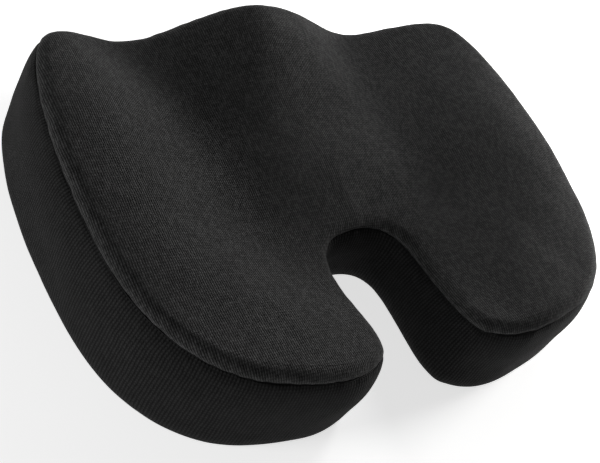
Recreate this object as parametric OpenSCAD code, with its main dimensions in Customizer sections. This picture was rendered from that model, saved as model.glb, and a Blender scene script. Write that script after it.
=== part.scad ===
// Contoured memory-foam seat cushion with a tailbone cut-out and a removable zipped cover.
// Frame: origin at the middle of the base, +Z up, +Y towards the sitter's knees.
// The tailbone cut-out opens towards -Y. Millimetres throughout.

/* [Body] */
// Overall width, side to side
cushion_w = 455; // [400:1:520]
// Overall depth, from the rear lobes to the front wall
cushion_d = 338; // [310:1:400]
// Height of the top in the middle of the seat
seat_h = 82; // [68:1:105]
// Radius of the front wall, seen from above
front_r = 1180; // [800:10:2000]

/* [Contour] */
// How far the ridge between the thighs stands above the seat
pommel_rise = 20; // [0:1:35]
// Half-width of that ridge
pommel_w = 62; // [40:1:90]
// How far the outer bolsters rise above the seat
bolster_rise = 17; // [0:1:30]
// Depth of the two thigh channels at the front
thigh_depth = 20; // [0:1:30]
// Depth of the two dishes beside the ridge, in the middle of the seat
dish_depth = 12; // [0:1:18]
// Depth of the dip around the tailbone
tail_dip = 20; // [0:1:30]

/* [Tailbone cut-out] */
// Width between the walls of the cut-out
cutout_w = 76; // [50:1:110]
// Depth of the cut-out, from its apex to the rear of the lobes
cutout_depth = 122; // [80:1:150]

/* [Edges] */
// Width of the rounded shoulder round the top
shoulder_w = 14; // [8:1:20]
// How far the top seam lies below the top of the shoulder
seam_drop = 8; // [5:1:12]
// How far the bottom seam lies inside the wall
hem_inset = 10; // [7:1:15]

/* [Cover] */
// Thickness of the knitted cover
cover_t = 1.6; // [1:0.1:2.5]
// Thickness of the inner liner
liner_t = 0.6; // [0.4:0.1:1.2]
// Slack between the cover and the liner
cover_slack = 1.1; // [1:0.1:3]
// Clearance between the liner and the foam
liner_gap = 0.15; // [0.1:0.05:0.5]
// Width of the gap that a seam's thread lies in
seam_gap = 1; // [0.8:0.1:1.6]
// Diameter of the sewing thread
thread_d = 0.7; // [0.5:0.05:0.9]

/* [Grip dots] */
// Diameter of one silicone grip dot
dot_d = 8; // [4:0.5:12]
// How far the dots stand below the base fabric
dot_h = 0.8; // [0.4:0.1:1.5]
// Distance between neighbouring dots
dot_pitch = 48; // [40:1:70]
// Least distance from a dot's centre to the edge of the base panel
dot_margin = 12; // [8:1:30]

/* [Zip] */
// Height of the zip above the base
zip_z = 20; // [16:1:24]
// Half of the length of the row of teeth
zip_half = 132; // [100:1:140]
// Height of the opening in the front wall that shows the zip
zip_slot = 11; // [10:0.5:13]
// Distance from tooth to tooth on one side
tooth_pitch = 3; // [2.5:0.1:4]
// Width of the interlocked row of teeth
chain_w = 5; // [4:0.1:6]
// Thickness of a tooth
tooth_t = 2; // [1.6:0.1:2.4]
// Width of one zip tape
tape_w = 7.5; // [6:0.25:7.5]
// Thickness of the zip tape
tape_t = 0.6; // [0.4:0.05:0.8]
// Length of the slider
slider_l = 12; // [9:0.5:16]
// Height of the slider's plates
slider_w = 8; // [7:0.25:9]
// Thickness of each plate of the slider
slider_plate = 1; // [0.8:0.1:1.4]
// Running clearance between the slider and the teeth
slider_gap = 0.3; // [0.2:0.05:0.5]
// Length of the puller from its pivot
puller_l = 24; // [16:1:34]
// Width of the puller
puller_w = 7; // [6:0.5:9]
// Thickness of the puller
puller_t = 1.2; // [0.8:0.1:1.8]

/* [Handle] */
// Width of the carrying strap
strap_w = 25; // [20:1:30]
// Thickness of the carrying strap
strap_t = 1.6; // [1.2:0.1:2.5]
// Half of the free span of the strap
strap_half = 56; // [45:1:70]
// Length of each sewn-down end
strap_end = 20; // [14:1:26]
// How far the strap stands off the wall in the middle
strap_arch = 18; // [12:1:26]
// Height of the strap's middle above the base
strap_z = 49; // [46:1:54]

/* [Hidden] */
$fn = 48;

fabric_black = [0.05, 0.05, 0.055];
thread_black = [0.09, 0.09, 0.095];
foam_white = [0.93, 0.91, 0.84];
liner_grey = [0.78, 0.78, 0.76];
silicone_grey = [0.16, 0.16, 0.17];
zip_black = [0.07, 0.07, 0.075];

// ---- Outline, seen from above -------------------------------------------------------------

rear_y = -cushion_d / 2;
front_y = cushion_d / 2;
side_x = cushion_w / 2 / 1.012;  // where the side's control points lie: the curve swells past them
apex_y = rear_y + cutout_depth;
arc_cy = front_y - front_r;     // centre of the front wall's arc
front_x = side_x * 2 / 3;       // where the arc meets the front corners

side_steps = 18;                // samples from a lobe's tip to a front corner
front_steps = 12;               // samples along the front wall
half_steps = 2 * side_steps + front_steps;
ring_steps = 2 * half_steps;
fine_steps = 8;                 // samples of one span of a curve, before it is evened out

function on_front(x) = [x, arc_cy + sqrt(front_r * front_r - x * x)];
function mirrored(p) = [-p[0], p[1]];

lobe_tip = [side_x * 0.42, rear_y];
lobe_inner = [cutout_w / 2 + 16, rear_y + 8];
lobe_outer = [side_x * 0.72, rear_y + 16];

side_curve = [lobe_inner, lobe_tip, lobe_outer, [side_x * 0.912, rear_y + 58],
              [side_x, rear_y + 124], [side_x, front_y - 113], [side_x * 0.9, front_y - 33],
              on_front(front_x), on_front(front_x * 2 / 3)];
cutout_curve = [lobe_outer, lobe_tip, lobe_inner, [cutout_w / 2, rear_y + 32],
                [cutout_w / 2 - 4.5, apex_y - 15], [0, apex_y], [-cutout_w / 2 + 4.5, apex_y - 15]];

function catmull(a, b, c, d, t) =
    0.5 * (2 * b + (c - a) * t + (2 * a - 5 * b + 4 * c - d) * t * t + (3 * b - a - 3 * c + d) * t * t * t);

// A smooth curve through all of the points but the first and the last, which only steer it.
function fine_curve(p) =
    [for (i = [1 : len(p) - 3], k = [0 : fine_steps - 1])
         catmull(p[i - 1], p[i], p[i + 1], p[i + 2], k / fine_steps),
     p[len(p) - 2]];

function running_length(p, i = 1, sum = [0]) =
    i == len(p) ? sum : running_length(p, i + 1, concat(sum, [sum[i - 1] + norm(p[i] - p[i - 1])]));

// The same curve as n + 1 points at even distances.
function evened(p, n) =
    let (s = running_length(p),
         tx = [for (i = [0 : len(p) - 1]) [s[i], p[i][0]]],
         ty = [for (i = [0 : len(p) - 1]) [s[i], p[i][1]]],
         whole = s[len(p) - 1])
    [for (k = [0 : n]) [lookup(whole * k / n, tx), lookup(whole * k / n, ty)]];

function backwards(p) = [for (i = [len(p) - 1 : -1 : 0]) p[i]];
function without_ends(p) = [for (i = [1 : len(p) - 2]) p[i]];

side_pts = evened(fine_curve(side_curve), side_steps);
cutout_pts = evened(fine_curve(cutout_curve), half_steps / 2);
front_angle = asin(front_x / front_r);
front_pts = [for (k = [1 : front_steps - 1])
                 let (a = front_angle * (1 - 2 * k / front_steps))
                 [front_r * sin(a), arc_cy + front_r * cos(a)]];

// Counter-clockwise, from the right lobe's tip: side, front, side, left tip, cut-out.
outline = concat(side_pts, front_pts,
                 [for (p = backwards(side_pts)) mirrored(p)],
                 [for (p = without_ends(cutout_pts)) mirrored(p)],
                 [cutout_pts[half_steps / 2]],
                 backwards(without_ends(cutout_pts)));

first_front = side_steps;
last_front = side_steps + front_steps;

function wrapped(j) = (j + ring_steps) % ring_steps;
function unit(v) = v / norm(v);
outward = [for (j = [0 : ring_steps - 1])
               let (t = unit(outline[wrapped(j + 1)] - outline[wrapped(j - 1)])) [t[1], -t[0]]];

// ---- Contour of the top -------------------------------------------------------------------

function smooth(t) = let (u = min(1, max(0, t))) u * u * (3 - 2 * u);
function bell(t) = exp(-t * t);

function top_z(x, y) =
    let (ax = abs(x),
         to_front = smooth((y - (front_y - 124)) / 132),
         bolster = smooth((ax - side_x * 0.31) / (side_x * 0.63)),
         dishes = smooth((y - rear_y - 54) / 100) * (1 - smooth((y - (front_y - 119)) / 95)))
    seat_h
    - dish_depth * dishes * bell((ax - side_x * 0.445) / 50)
    + pommel_rise * to_front * bell(x / pommel_w)
    + bolster_rise * bolster * (0.31 + 0.69 * smooth((y - rear_y - 14) / 280))
    - thigh_depth * to_front * bell((ax - side_x * 0.51) / 55)
    + 4 * smooth((rear_y + 104 - y) / 110)
    - tail_dip * bell((ax - 20) / 70) * bell((y - (apex_y - 35)) / 75);

// ---- Cross-section of the edge ------------------------------------------------------------
// A level is [offset outwards from the outline, share of the seam's height, height added,
// direction that the surface faces: 0 outwards, 90 up]. Depths are measured into the cushion.

hem = [-hem_inset, 0, dot_h, -90];
roll = [-5.5, 0, 0.3, -65];
heel = [-1.2, 0, 6, -20];
zip_low = [0, 0, zip_z - 8, 0];
zip_high = [0, 0, zip_z + 8, 0];
waist = [0, 0.62, 0, 0];
neck = [-1.2, 0.85, 0, 6];
seam = [-3.2, 1, 0, 15];

function shoulder(a) =
    let (run = shoulder_w - 3.2)
    [-shoulder_w + run * cos(a), 1, seam_drop * sin(a), atan2(run * sin(a), seam_drop * cos(a))];

// A level moved along the surface, upwards.
function moved(level, s) =
    [level[0] - s * sin(level[3]), level[1], level[2] + s * cos(level[3]), level[3]];

band_levels = [moved(hem, -seam_gap / 2), roll, heel, zip_low, zip_high, waist, neck,
               moved(seam, -seam_gap / 2)];
top_levels = [moved(seam, seam_gap / 2), shoulder(26), shoulder(48), shoulder(70), shoulder(90)];
body_levels = [hem, heel, zip_low, zip_high, waist, seam, shoulder(50), shoulder(90)];

seam_z = [for (j = [0 : ring_steps - 1])
              let (p = outline[j] - shoulder_w * outward[j]) top_z(p[0], p[1]) - seam_drop];

function ring_point(j, level, depth) =
    let (out = level[0] - depth * cos(level[3]),
         p = outline[j] + out * outward[j])
    [p[0], p[1], level[1] * seam_z[j] + level[2] - depth * sin(level[3])];

// Anything that lies deeper than the cover gives way behind the zip.
function ring(level, depth, from = 0, to = ring_steps - 1) =
    [for (j = [from : to])
         ring_point(wrapped(j), level, depth + (depth > cover_t ? relief(wrapped(j), level) : 0))];

// ---- Skins --------------------------------------------------------------------------------
// A ring is one loop of points round the outline. A cap closes a ring: it pairs each point of
// the outer wall with one of the cut-out's wall, and fills the band between them.

cap_steps = 6;

function cap_points(depth, flat) =
    let (edge = [for (j = [0 : ring_steps - 1]) outline[j] - shoulder_w * outward[j]])
    [for (i = [1 : half_steps - 1], k = [1 : cap_steps - 1])
         let (p = edge[i] + (edge[ring_steps - i] - edge[i]) * k / cap_steps)
         [p[0], p[1], (flat ? hem[2] : top_z(p[0], p[1])) - depth]];

// The number of the point in row i, place k, where the ring starts at r and the inner points at c.
function cap_index(i, k, r, c) =
    k == 0 || i == 0 || i == half_steps ? r + i
    : k == cap_steps ? r + ring_steps - i
    : c + (i - 1) * (cap_steps - 1) + k - 1;

function cap_faces(r, c, up = true) =
    [for (i = [0 : half_steps - 1], k = [0 : cap_steps - 1])
         let (a = cap_index(i, k, r, c), b = cap_index(i, k + 1, r, c),
              d = cap_index(i + 1, k, r, c), e = cap_index(i + 1, k + 1, r, c))
         each [for (f = i == 0 ? [[a, d, e]] : i == half_steps - 1 ? [[a, d, b]]
                      : [[a, d, e], [a, e, b]])
                   up ? [f[0], f[2], f[1]] : f]];

// Quads between two loops of n points that start at a and b.
function wall_faces(a, b, n, closed = true, outside = true) =
    [for (j = [0 : n - (closed ? 1 : 2)])
         let (k = (j + 1) % n)
         each outside ? [[a + j, b + k, a + k], [a + j, b + j, b + k]]
                      : [[a + j, a + k, b + k], [a + j, b + k, b + j]]];

// Points of whole loops and their cap.
function skin_points(levels, depth, flat = false) =
    concat([for (level = levels) each ring(level, depth)], cap_points(depth, flat));

// Points and faces of a thin sheet that covers the top and reaches down through the levels.
module draped_sheet(levels, depth, thickness) {
    n = len(levels);
    per_skin = n * ring_steps + (half_steps - 1) * (cap_steps - 1);
    top_ring = (n - 1) * ring_steps;
    points = concat(skin_points(levels, depth), skin_points(levels, depth + thickness));
    outer_walls = [for (l = [0 : n - 2]) each wall_faces(l * ring_steps, (l + 1) * ring_steps, ring_steps)];
    inner_walls = [for (l = [0 : n - 2])
                       each wall_faces(per_skin + l * ring_steps, per_skin + (l + 1) * ring_steps,
                                       ring_steps, outside = false)];
    polyhedron(points, concat(
        outer_walls, inner_walls, wall_faces(per_skin, 0, ring_steps),
        cap_faces(top_ring, n * ring_steps),
        cap_faces(per_skin + top_ring, per_skin + n * ring_steps, false)));
}

// A solid that fills the cushion up to a depth under the cover's outside.
module filling(levels, depth) {
    n = len(levels);
    inner = n * ring_steps;
    under = inner + (half_steps - 1) * (cap_steps - 1);
    polyhedron(concat(skin_points(levels, depth), cap_points(-depth, true)), concat(
        [for (l = [0 : n - 2]) each wall_faces(l * ring_steps, (l + 1) * ring_steps, ring_steps)],
        cap_faces((n - 1) * ring_steps, inner), cap_faces(0, under, false)));
}

// A row of points whose two ends are drawn in by s, to leave room for a seam there.
function drawn_in(p, s) =
    let (n = len(p) - 1)
    [p[0] + s * unit(p[1] - p[0]), each without_ends(p), p[n] + s * unit(p[n - 1] - p[n])];

// A strip of wall through the levels, from sample first to sample last.
module band(levels, first, last) {
    n = len(levels);
    m = last - first + 1;
    skin = n * m;
    points = [for (depth = [0, cover_t], level = levels)
                  each drawn_in(ring(level, depth, first, last), seam_gap / 2)];
    ends = [for (l = [0 : n - 2], j = [0, m - 1])
                let (o = l * m + j, i = skin + o)
                each j == 0 ? [[i, i + m, o + m], [i, o + m, o]] : [[i, o + m, i + m], [i, o, o + m]]];
    polyhedron(points, concat(
        [for (l = [0 : n - 2]) each wall_faces(l * m, (l + 1) * m, m, false)],
        [for (l = [0 : n - 2]) each wall_faces(skin + l * m, skin + (l + 1) * m, m, false, false)],
        wall_faces(skin, 0, m, false), wall_faces(skin - m, 2 * skin - m, m, false), ends));
}

// A round thread along a path. Its section at each point lies across the directions u and v.
thread_sides = 6;
module thread(path, us, vs, closed) {
    n = len(path);
    points = [for (i = [0 : n - 1], k = [0 : thread_sides - 1])
                  let (a = 360 * k / thread_sides)
                  path[i] + thread_d / 2 * (cos(a) * us[i] + sin(a) * vs[i])];
    sides = [for (i = [0 : n - (closed ? 1 : 2)], k = [0 : thread_sides - 1])
                 let (a = i * thread_sides, b = ((i + 1) % n) * thread_sides, q = (k + 1) % thread_sides)
                 each [[a + k, a + q, b + q], [a + k, b + q, b + k]]];
    ends = closed ? [] : [[for (k = [thread_sides - 1 : -1 : 0]) k],
                          [for (k = [0 : thread_sides - 1]) (n - 1) * thread_sides + k]];
    polyhedron(points, concat(sides, ends));
}

// A thread that runs all the way round, in the gap at one level.
module round_thread(level) {
    path = ring(level, cover_t / 2);
    us = [for (j = [0 : ring_steps - 1]) each [concat(outward[j], 0)]];
    thread(path, [for (u = us) cos(level[3]) * u + [0, 0, sin(level[3])]],
           [for (u = us) -sin(level[3]) * u + [0, 0, cos(level[3])]], true);
}

// ---- Zip ----------------------------------------------------------------------------------
// The zip follows the front wall's arc, so its parts turn about the arc's centre.

cover_clear = 0.2;                          // between the tape and the cover in front of it
stitch_t = 0.5;                             // diameter of the thread of a visible row of stitches
tape_r = front_r - cover_t - cover_clear - tape_t / 2;
chain_gap = 0.8;                            // between the two rows of teeth
plate_in = tooth_t / 2 + slider_gap;        // from the tape's middle to the inside of a plate
plate_out = plate_in + slider_plate;
back_clear = 0.6;                           // behind the slider's back plate
zip_relief = front_r - tape_r + plate_out + back_clear - cover_t - cover_slack;
slider_park = zip_half - slider_l / 2 - 2;  // how far from the middle the slider stops
slider_angle = asin(slider_park / tape_r);

// Depth of the liner and the foam, which lie deeper behind the zip.
function relief(j, level) =
    j >= first_front && j <= last_front && (level == zip_low || level == zip_high) ? zip_relief : 0;

// Where the front wall's arc has turned by a degrees; x runs along the zip and y outwards.
module on_arc(a, r = tape_r) translate([0, arc_cy, 0]) rotate([0, 0, -a]) translate([0, r, 0]) children();

function arc_angle(x) = asin(x / tape_r);

module arc_strip(r0, r1, z0, z1, a)
    translate([0, arc_cy, 0]) rotate([0, 0, 90 - a])
        rotate_extrude(angle = 2 * a, $fn = 720)
            translate([r0, z0]) square([r1 - r0, z1 - z0]);

module zip_tape(up) {
    z = up > 0 ? zip_z + chain_gap / 2 : zip_z - chain_gap / 2 - tape_w;
    arc_strip(tape_r - tape_t / 2, tape_r + tape_t / 2, z, z + tape_w, arc_angle(zip_half + 8));
}

tooth_l = tooth_pitch - 0.6;                // length of a tooth's head along the zip
tooth_h = (chain_w - chain_gap) / 2;

// One tooth: a head towards the other row and a narrower neck that grips the tape.
module tooth()
    rotate([90, 0, 0]) linear_extrude(tooth_t, center = true)
        polygon([[-tooth_l / 2, 0.3], [-tooth_l / 2 + 0.3, 0], [tooth_l / 2 - 0.3, 0], [tooth_l / 2, 0.3],
                 [tooth_l / 2, tooth_h * 0.55], [tooth_l / 2 - 0.4, tooth_h * 0.75],
                 [tooth_l / 2 - 0.4, tooth_h], [-tooth_l / 2 + 0.4, tooth_h],
                 [-tooth_l / 2 + 0.4, tooth_h * 0.75], [-tooth_l / 2, tooth_h * 0.55]]);

module zip_teeth(up) {
    count = floor(2 * zip_half / tooth_pitch);
    for (i = [0 : count - 1]) {
        x = (i - (count - 1) / 2 + (up > 0 ? 0.25 : -0.25)) * tooth_pitch;
        on_arc(arc_angle(x)) translate([0, 0, zip_z + up * chain_gap / 2])
            mirror([0, 0, up > 0 ? 0 : 1]) tooth();
    }
}

stop_l = 2.4;
stop_x = zip_half + 2.2;
module zip_stop(x, z0, z1)
    on_arc(arc_angle(x)) translate([-stop_l / 2, -tooth_t / 2, zip_z + z0]) cube([stop_l, tooth_t, z1 - z0]);

module zip_stops_closed_end() color(zip_black) {
    zip_stop(stop_x, chain_gap / 2, chain_w / 2);
    zip_stop(stop_x, -chain_w / 2, -chain_gap / 2);
}

module zip_stop_open_end() color(zip_black) zip_stop(-stop_x, -chain_w / 2, chain_w / 2);

// One line of thread along each lip of the zip's slot, on the outside of the front wall.
module zip_stitching()
    for (z = [zip_z - zip_slot / 2 - 1.5, zip_z + zip_slot / 2 + 1.5])
        translate([0, arc_cy, 0]) rotate([0, 0, 90 - arc_angle(zip_half + 4)])
            rotate_extrude(angle = 2 * arc_angle(zip_half + 4), $fn = 720)
                translate([front_r + 0.05 + stitch_t / 2, z]) circle(d = stitch_t, $fn = 16);

bridge_w = 3;                               // height of the bridge that carries the puller
bridge_l = 6.4;
bridge_open = 4;
bridge_rise = 3.2;
pivot_d = 1.3;
pivot_out = plate_out + 0.95;               // from the tape's middle to the puller's pivot
eye_clear = 0.3;

// A plate of the slider with the two lips that hold the teeth in; side is 1 outside, -1 inside.
module slider_half(side) {
    lip_z = chain_w / 2 + slider_gap;
    lip_in = tape_t / 2 + 0.25;
    y0 = side > 0 ? plate_in : -plate_out;
    translate([-slider_l / 2, y0, -slider_w / 2]) cube([slider_l, slider_plate, slider_w]);
    for (up = [-1, 1])
        translate([-slider_l / 2, side > 0 ? lip_in : -plate_in - 0.01, up > 0 ? lip_z : -slider_w / 2])
            cube([slider_l, plate_in - lip_in + 0.01, slider_w / 2 - lip_z]);
}

module zip_slider()
    on_arc(slider_angle) translate([0, 0, zip_z]) difference() {
        union() {
            slider_half(1);
            slider_half(-1);
            translate([slider_l / 6, -plate_in - 0.01, -chain_gap / 4])
                cube([slider_l / 3, 2 * plate_in + 0.02, chain_gap / 2]);
            translate([-bridge_l / 2, plate_out - 0.01, -bridge_w / 2])
                cube([bridge_l, bridge_rise, bridge_w]);
        }
        translate([-bridge_open / 2, plate_out, -bridge_w]) cube([bridge_open, 1.9, 2 * bridge_w]);
    }

module zip_puller() {
    eye_z = bridge_w / 2 + eye_clear;
    on_arc(slider_angle) translate([0, pivot_out, zip_z]) {
        cylinder(h = puller_w, d = pivot_d, center = true);
        difference() {
            translate([-puller_l, -puller_t / 2, -puller_w / 2]) cube([puller_l, puller_t, puller_w]);
            translate([-4.6, -puller_t, -eye_z]) cube([4.6 + puller_t, 2 * puller_t, 2 * eye_z]);
            translate([-puller_l + 4, 0, 0]) rotate([90, 0, 0])
                cylinder(h = 3 * puller_t, d = 3, center = true);
        }
    }
}

// ---- Handle -------------------------------------------------------------------------------

strap_clear = 0.15;                         // between the strap's ends and the wall
strap_steps = 28;

function strap_off(x) =
    abs(x) > strap_half ? 0 : strap_arch * (1 + cos(180 * x / strap_half)) / 2;
function strap_point(x, out) =
    let (r = front_r + strap_clear + strap_off(x) + out) [x, arc_cy + sqrt(r * r - x * x)];

module handle_strap() {
    reach = strap_half + strap_end;
    xs = [for (i = [0 : strap_steps]) reach * (1 - 2 * i / strap_steps)];
    translate([0, 0, strap_z - strap_w / 2]) linear_extrude(strap_w)
        polygon(concat([for (x = xs) strap_point(x, strap_t)], [for (x = backwards(xs)) strap_point(x, 0)]));
}

stitch_l = 2.4;
stitch_pitch = 3.4;
stitch_clear = 0.1;                         // between a stitch and the strap's faceted face

// Stitches on the strap's face in a straight line between two points [x, z].
module stitch_line(a, b) {
    way = b - a;
    count = max(1, floor(norm(way) / stitch_pitch));
    for (i = [0 : count - 1]) {
        p = a + way * (i + 0.5) / count;
        on_arc(asin(p[0] / front_r), front_r + strap_clear + strap_t + stitch_clear + stitch_t / 2)
            translate([0, 0, p[1]]) rotate([0, -atan2(way[1], way[0]), 0])
                cube([stitch_l, stitch_t, stitch_t], center = true);
    }
}

module handle_stitching()
    for (side = [-1, 1]) {
        x0 = side * (strap_half + 3);
        x1 = side * (strap_half + strap_end - 3);
        z0 = strap_z - strap_w / 2 + 3.5;
        z1 = strap_z + strap_w / 2 - 3.5;
        for (line = [[[x0, z0], [x0, z1]], [[x1, z0], [x1, z1]], [[x0, z0], [x1, z0]], [[x0, z1], [x1, z1]]])
            stitch_line(line[0], line[1]);
        stitch_line([x0, z0] + [x1 - x0, z1 - z0] * 0.12, [x0, z0] + [x1 - x0, z1 - z0] * 0.88);
    }

// ---- Base ---------------------------------------------------------------------------------

panel_edge = [for (p = ring(moved(hem, -seam_gap * 1.5), 0)) [p[0], p[1]]];

// The sides of a polygon that lie straight to the right of a point.
function crossings(p, poly) =
    [for (j = [0 : len(poly) - 1])
         let (a = poly[j], b = poly[(j + 1) % len(poly)])
         if ((a[1] > p[1]) != (b[1] > p[1])
             && p[0] < a[0] + (b[0] - a[0]) * (p[1] - a[1]) / (b[1] - a[1])) j];
function edge_distance(p, poly) =
    min([for (j = [0 : len(poly) - 1])
             let (a = poly[j], b = poly[(j + 1) % len(poly)], w = b - a,
                  t = min(1, max(0, (p - a) * w / (w * w))))
             norm(p - a - t * w)]);

module bottom_panel() translate([0, 0, dot_h]) linear_extrude(cover_t) polygon(panel_edge);

module grip_dots() {
    rows = ceil(cushion_d / dot_pitch / 2);
    columns = ceil(cushion_w / dot_pitch / 2);
    for (r = [-rows : rows], c = [-columns : columns]) {
        p = [(c + (abs(r) % 2) / 2) * dot_pitch, r * dot_pitch * sin(60)];
        if (len(crossings(p, panel_edge)) % 2 == 1 && edge_distance(p, panel_edge) > dot_margin)
            translate([p[0], p[1], 0]) cylinder(h = dot_h, d = dot_d);
    }
}

// ---- Pieces -------------------------------------------------------------------------------

liner_depth = cover_t + cover_slack;
foam_depth = liner_depth + liner_t + liner_gap;
slot_top = [0, 0, zip_z + zip_slot / 2, 0];
slot_bottom = [0, 0, zip_z - zip_slot / 2, 0];
upper_levels = [slot_top, zip_high, waist, neck, moved(seam, -seam_gap / 2)];
lower_levels = [moved(hem, -seam_gap / 2), roll, heel, zip_low, slot_bottom];

module foam_core() color(foam_white) filling(body_levels, foam_depth);
module liner_top() color(liner_grey) draped_sheet(body_levels, liner_depth, liner_t);
module liner_bottom()
    color(liner_grey) translate([0, 0, hem[2] + liner_depth]) linear_extrude(liner_t)
        polygon([for (p = ring(moved(hem, -liner_gap), 0)) [p[0], p[1]]]);
module top_panel() color(fabric_black) draped_sheet(top_levels, 0, cover_t);
module side_band() color(fabric_black) band(band_levels, last_front, first_front + ring_steps);
module front_band_upper() color(fabric_black) band(upper_levels, first_front, last_front);
module front_band_lower() color(fabric_black) band(lower_levels, first_front, last_front);

module corner_seam_threads()
    color(thread_black) for (j = [first_front, last_front]) {
        u = concat(outward[j], 0);
        levels = [roll, heel, zip_low, zip_high, waist, neck];
        path = [for (level = levels) ring_point(j, level, cover_t / 2)];
        thread(path, [for (p = path) u], [for (p = path) [u[1], -u[0], 0]], false);
    }

foam_core();
liner_top();
liner_bottom();
top_panel();
side_band();
front_band_upper();
front_band_lower();
color(fabric_black) bottom_panel();
color(silicone_grey) grip_dots();
color(thread_black) round_thread(seam);  // top_seam_thread
color(thread_black) round_thread(moved(hem, -seam_gap));  // bottom_seam_thread
corner_seam_threads();
color(zip_black) zip_tape(1);  // zip_tape_upper
color(zip_black) zip_tape(-1);  // zip_tape_lower
color(zip_black) zip_teeth(1);  // zip_teeth_upper
color(zip_black) zip_teeth(-1);  // zip_teeth_lower
zip_stops_closed_end();
zip_stop_open_end();
color(thread_black) zip_stitching();
color(zip_black) zip_slider();
color(zip_black) zip_puller();
color(fabric_black) handle_strap();
color(thread_black) handle_stitching();
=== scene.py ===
"""Looks of the contoured seat cushion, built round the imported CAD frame. Metres throughout."""
import math

import bmesh
import bpy
import numpy as np
from mathutils import Matrix, Vector


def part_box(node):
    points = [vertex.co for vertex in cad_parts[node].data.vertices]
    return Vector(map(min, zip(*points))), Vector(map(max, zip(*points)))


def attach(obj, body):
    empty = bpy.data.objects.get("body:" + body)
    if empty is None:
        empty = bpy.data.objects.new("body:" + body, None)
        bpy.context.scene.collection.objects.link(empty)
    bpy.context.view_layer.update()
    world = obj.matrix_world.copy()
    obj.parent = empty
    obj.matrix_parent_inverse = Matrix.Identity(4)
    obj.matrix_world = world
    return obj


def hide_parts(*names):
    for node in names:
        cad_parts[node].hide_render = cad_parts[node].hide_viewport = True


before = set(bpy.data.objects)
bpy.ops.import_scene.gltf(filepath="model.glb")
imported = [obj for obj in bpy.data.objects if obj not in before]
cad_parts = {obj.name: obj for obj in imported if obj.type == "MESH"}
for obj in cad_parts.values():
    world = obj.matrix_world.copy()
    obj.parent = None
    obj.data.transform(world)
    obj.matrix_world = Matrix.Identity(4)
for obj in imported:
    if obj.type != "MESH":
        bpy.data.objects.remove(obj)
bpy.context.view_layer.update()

MM = 0.001

# ---- Sizes ----------------------------------------------------------------------------------
# These are the CAD model's own.

band_low, band_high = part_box("side_band")
SIDE = band_high.x / 1.012            # the side's control points; the curve swells past them
REAR = band_low.y
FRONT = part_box("front_band_upper")[1].y
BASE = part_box("bottom_panel")[0].z
CUT_W = 76 * MM
APEX = REAR + 122 * MM
FRONT_R = 1.180
ARC_Y = FRONT - FRONT_R
SEAT = 82 * MM
SHOULDER = 14 * MM
SEAM_DROP = 8 * MM
SEAM_IN = 3.2 * MM
COVER = 1.6 * MM
LINER_DEPTH = 2.7 * MM
LINER = 0.6 * MM
FOAM_DEPTH = LINER_DEPTH + LINER + 0.15 * MM
ZIP_Z = (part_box("zip_slider")[0].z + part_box("zip_slider")[1].z) / 2
SLOT = 11 * MM

# The cloth's, which the CAD model leaves out.
LIP = 0.7 * MM                        # radius of the cover's edge where it turns into a seam
PULL = 2.0 * MM                       # how far a seam draws the cloth in
ALLOWANCE = 2.5 * MM                  # how deep the turned edge goes

# ---- Outline, seen from above ---------------------------------------------------------------

SIDE_STEPS, FRONT_STEPS = 144, 96
HALF = 2 * SIDE_STEPS + FRONT_STEPS
RING = 2 * HALF
CAP_STEPS = 64


def catmull(a, b, c, d, t):
    """A Catmull-Rom curve's point between b and c."""
    return 0.5 * (2 * b + (c - a) * t + (2 * a - 5 * b + 4 * c - d) * t**2
                  + (3 * b - a - 3 * c + d) * t**3)


def smooth_line(points, n):
    """n + 1 evenly spaced points on a curve through all the points but the first and last."""
    p = np.array(points, float)
    t = np.linspace(0, 1, 40, endpoint=False)[:, None]
    fine = np.vstack([catmull(p[i - 1], p[i], p[i + 1], p[i + 2], t) for i in range(1, len(p) - 2)]
                     + [p[-2:-1]])
    run = np.r_[0, np.cumsum(np.linalg.norm(np.diff(fine, axis=0), axis=1))]
    s = np.linspace(0, run[-1], n + 1)
    return np.stack([np.interp(s, run, fine[:, 0]), np.interp(s, run, fine[:, 1])], 1)


def on_front(x):
    """A point of the front's arc, seen from above."""
    return (x, ARC_Y + math.sqrt(FRONT_R**2 - x * x))


def make_outline():
    """A closed loop of RING points: right side, front arc, left side and the cut-out."""
    corner = SIDE * 2 / 3
    tip = (SIDE * 0.42, REAR)
    inner = (CUT_W / 2 + 16 * MM, REAR + 8 * MM)
    outer = (SIDE * 0.72, REAR + 16 * MM)
    side = smooth_line([inner, tip, outer, (SIDE * 0.912, REAR + 58 * MM), (SIDE, REAR + 124 * MM),
                        (SIDE, FRONT - 113 * MM), (SIDE * 0.9, FRONT - 33 * MM),
                        on_front(corner), on_front(corner * 2 / 3)], SIDE_STEPS)
    cut_in = CUT_W / 2 - 4.5 * MM
    cut = smooth_line([outer, tip, inner, (CUT_W / 2, REAR + 32 * MM), (cut_in, APEX - 15 * MM),
                       (0, APEX), (-cut_in, APEX - 15 * MM)], HALF // 2)
    a = np.arcsin(corner / FRONT_R) * (1 - 2 * np.arange(1, FRONT_STEPS) / FRONT_STEPS)
    arc = np.stack([FRONT_R * np.sin(a), ARC_Y + FRONT_R * np.cos(a)], 1)
    flip = np.array([-1, 1])
    return np.vstack([side, arc, side[::-1] * flip, cut[1:-1] * flip, cut[-1:], cut[-2:0:-1]])


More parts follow.
